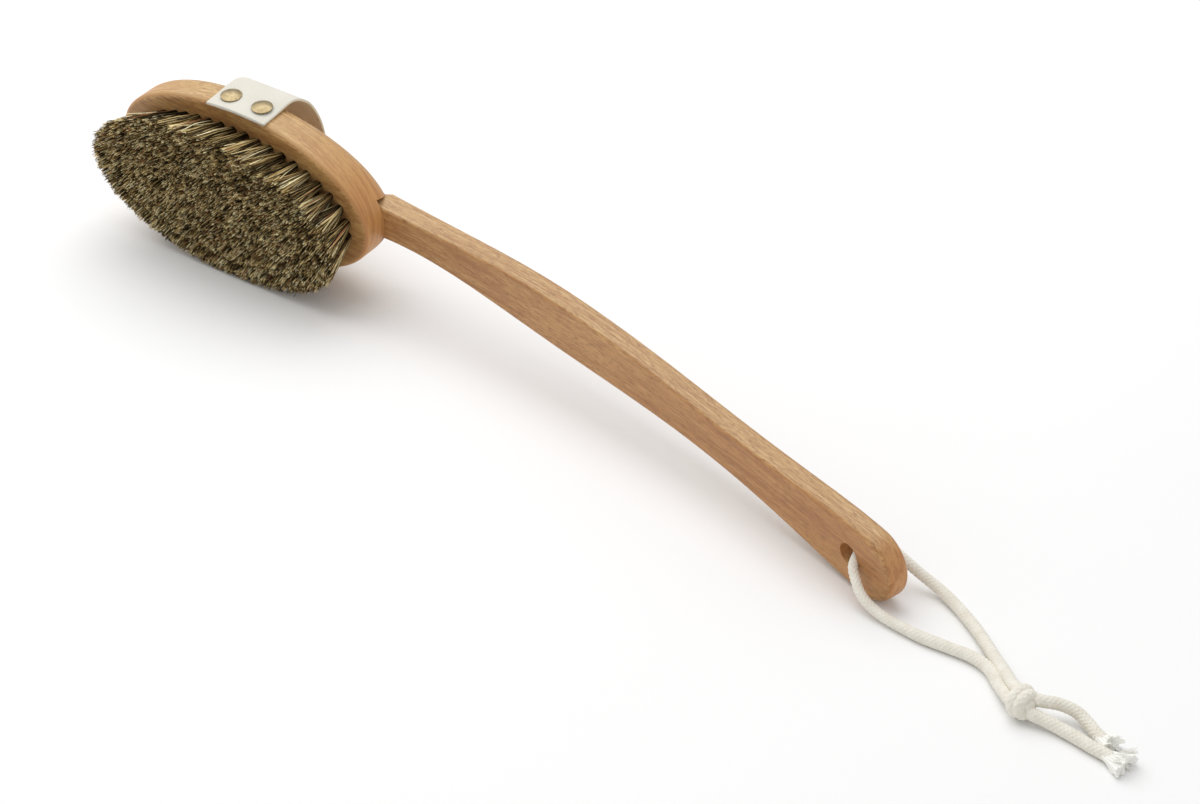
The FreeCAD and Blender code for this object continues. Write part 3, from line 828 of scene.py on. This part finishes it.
# Half of the strap's loop, as its middle line, from the nailed end to the top: y, z.
STRAP_HALF_LOOP = [
    (-0.5, 35.95),
    (7.0, 36.05),
    (14.0, 36.2),
    (21.5, 34.3),
    (28.5, 28.8),
    (34.0, 18.5),
    (36.8, 0.0),
]
STRAP_STEP = 0.6
STRAP_EDGE = 0.35              # radius of the strap's long edges
NAIL_OFFSET = 8.0
NAIL_DIMPLE = 0.22             # how deep each nail pulls the webbing in
DIMPLE_REACH = 5.2
FREE_FROM = 20.0               # from here up the strap is clear of the head
HELD_OVER = 9.0                # and over this length it comes away from it
RIPPLE = 0.10
RIPPLE_LENGTH = 7.0


def webbing():
    """Tightly woven off-white cotton webbing, with painted warm bounce light from the wood on its inner
    side.
    """
    n = Nodes("strap_webbing")
    across_threads = n.add("ShaderNodeTexWave", wave_type="BANDS", bands_direction="X")
    along_threads = n.add("ShaderNodeTexWave", wave_type="BANDS", bands_direction="Y")
    flat = n.coordinates(source="UV")
    for wave in (across_threads, along_threads):
        wave.inputs["Scale"].default_value = 0.32
        wave.inputs["Distortion"].default_value = 0.4
        n.link(flat, wave.inputs["Vector"])
    weave = n.math("MULTIPLY", across_threads.outputs["Fac"], along_threads.outputs["Fac"])
    cloud = n.noise(n.coordinates(), 90, 3)
    fuzz = n.noise(n.coordinates(), 2400, 2, 0.7)
    colour = n.ramp(cloud, (0.3, (0.72, 0.69, 0.605)), (0.7, (0.77, 0.745, 0.67)))
    colour = n.mix(n.range(weave, 0.0, 0.5, 0.22, 0.0), colour, (0.62, 0.60, 0.54), "MULTIPLY")
    # Painted reflection: the inner side is painted tan, as warm light bounced from the wood.
    inside = n.add("ShaderNodeAttribute", attribute_name="inside").outputs["Fac"]
    painted_wood_bounce = n.ramp(fuzz, (0.35, (0.70, 0.58, 0.39)), (0.65, (0.88, 0.76, 0.54)))
    colour = n.mix(inside, colour, painted_wood_bounce)
    height = n.math("ADD", weave, n.math("MULTIPLY", fuzz, 0.5))
    n.bump(height, 0.00018, 0.55)
    return n.finish(colour, 0.88, Sheen_Weight=0.15)


def strap_middle():
    """The loop's middle line in y and z, evenly stepped, with each point's outward direction."""
    half = np.array(STRAP_HALF_LOOP)
    loop = np.concatenate([half, (half * (1, -1))[-2::-1]])
    chord = np.linalg.norm(np.diff(loop, axis=0), axis=1)
    at = np.concatenate([[0], np.cumsum(chord)])
    slope = np.gradient(loop, at, axis=0)
    fine = np.linspace(0, at[-1], 1200)
    k = np.clip(np.searchsorted(at, fine, "right") - 1, 0, len(at) - 2)
    span = (at[k + 1] - at[k])[:, None]
    u = ((fine - at[k]) / (at[k + 1] - at[k]))[:, None]
    line = (
        (2 * u**3 - 3 * u**2 + 1) * loop[k]
        + (u**3 - 2 * u**2 + u) * span * slope[k]
        + (3 * u**2 - 2 * u**3) * loop[k + 1]
        + (u**3 - u**2) * span * slope[k + 1]
    )
    line, travelled = evenly(np.column_stack([np.zeros(len(line)), line]), STRAP_STEP)
    forward = unit(np.gradient(line, axis=0))
    outward = np.cross((1.0, 0, 0), forward)
    return line, outward, travelled


def hand_strap():
    line, outward, travelled = strap_middle()
    half, t, r = STRAP_WIDTH / 2, STRAP_THICKNESS / 2, STRAP_EDGE
    flat = np.arange(-half + r, half - r + 0.01, STRAP_STEP)
    flat = np.linspace(flat[0], half - r, len(flat))
    turns = np.radians([30, 60, 90])
    round_edge = [(half - r * (1 - math.sin(a)), t - r * (1 - math.cos(a))) for a in turns]
    outer_half = [(x, t) for x in flat] + round_edge
    section = np.array(outer_half + [(x, -d) for x, d in reversed(outer_half)])
    mirrored_edge = [(-x, d) for x, d in round_edge]
    section = np.concatenate([section, [(x, -d) for x, d in mirrored_edge], list(reversed(mirrored_edge))])
    x = section[:, 0][None, :]
    depth = section[:, 1][None, :]
    y = line[:, 1][:, None] + outward[:, 1][:, None] * depth
    z = line[:, 2][:, None] + outward[:, 2][:, None] * depth

    nailed = np.clip((FREE_FROM - line[:, 1]) / HELD_OVER, 0, 1)[:, None]
    nailed = nailed * nailed * (3 - 2 * nailed)
    drop = HALF_WIDTH * (1 - np.sqrt(1 - ((x + STRAP_CENTRE) / HALF_LENGTH) ** 2)) * nailed
    for offset in (-NAIL_OFFSET, NAIL_OFFSET):
        away = np.hypot(x - offset, line[:, 1][:, None] - NAIL_Y)
        drop = drop + NAIL_DIMPLE * np.exp(-((away / DIMPLE_REACH) ** 2)) * nailed
    z = z - np.sign(line[:, 2])[:, None] * drop
    ripple = RIPPLE * np.sin(travelled / RIPPLE_LENGTH)[:, None] * (x / half) * (1 - nailed)
    y = y + ripple
    turn_x = x * math.cos(STRAP_LEAN) - (y - NAIL_Y) * math.sin(STRAP_LEAN)
    turn_y = x * math.sin(STRAP_LEAN) + (y - NAIL_Y) * math.cos(STRAP_LEAN)
    points = np.stack([turn_x + STRAP_CENTRE, turn_y + NAIL_Y, z], axis=2)

    around = len(section)
    rings = points.reshape(-1, 3)
    ends = [points[0].mean(axis=0), points[-1].mean(axis=0)]
    faces = ring_faces(len(line), around)
    piece = new_piece("hand_strap_webbing", placed([*rings, *ends]), faces, webbing(), "head")
    uv = piece.data.uv_layers.new(name="flat")
    across_mm = np.tile(section[:, 0], len(line))
    along_mm = np.repeat(travelled, around)
    place = np.column_stack([np.append(across_mm, [0, 0]), np.append(along_mm, [0, travelled[-1]])])
    corners = np.zeros(len(piece.data.loops), int)
    piece.data.loops.foreach_get("vertex_index", corners)
    uv.data.foreach_set("uv", place[corners].ravel())
    inside = piece.data.attributes.new("inside", "FLOAT", "POINT")
    depths = np.append(np.tile(section[:, 1] < 0, len(line)), [False, False]).astype(float)
    inside.data.foreach_set("value", depths)
    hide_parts("hand_strap")
    return piece


hand_strap()


# ---------------------------------------------------------------- floor and light
FLOOR_REACH = 4.0
WORLD_STRENGTH = 0.66


def pale_floor():
    n = Nodes("pale_floor")
    tint = n.noise(n.coordinates(), 3, 2)
    colour = n.ramp(tint, (0.3, (0.90, 0.90, 0.90)), (0.7, (0.92, 0.92, 0.92)))
    return n.finish(colour, 0.9)


def make_floor():
    mesh = bpy.data.meshes.new("floor")
    far = FLOOR_REACH
    mesh.from_pydata([(-far, -far, 0), (far, -far, 0), (far, far, 0), (-far, far, 0)], [], [(0, 1, 2, 3)])
    mesh.materials.append(pale_floor())
    floor = bpy.data.objects.new("floor", mesh)
    scene.collection.objects.link(floor)


def soft_light(name, place, size, power):
    light = bpy.data.lights.new(name, "AREA")
    light.shape = "DISK"
    light.size = size
    light.energy = power
    lamp = bpy.data.objects.new(name, light)
    lamp.location = place
    lamp.rotation_euler = (-Vector(place)).to_track_quat("-Z", "Y").to_euler()
    scene.collection.objects.link(lamp)


make_floor()
soft_light("key", (-0.55, 0.15, 1.3), 2.0, 16)
world = bpy.data.worlds.new("studio")
world.use_nodes = True
world.node_tree.nodes["Background"].inputs["Color"].default_value = (1, 1, 1, 1)
world.node_tree.nodes["Background"].inputs["Strength"].default_value = WORLD_STRENGTH
scene.world = world
scene.view_settings.view_transform = "Standard"
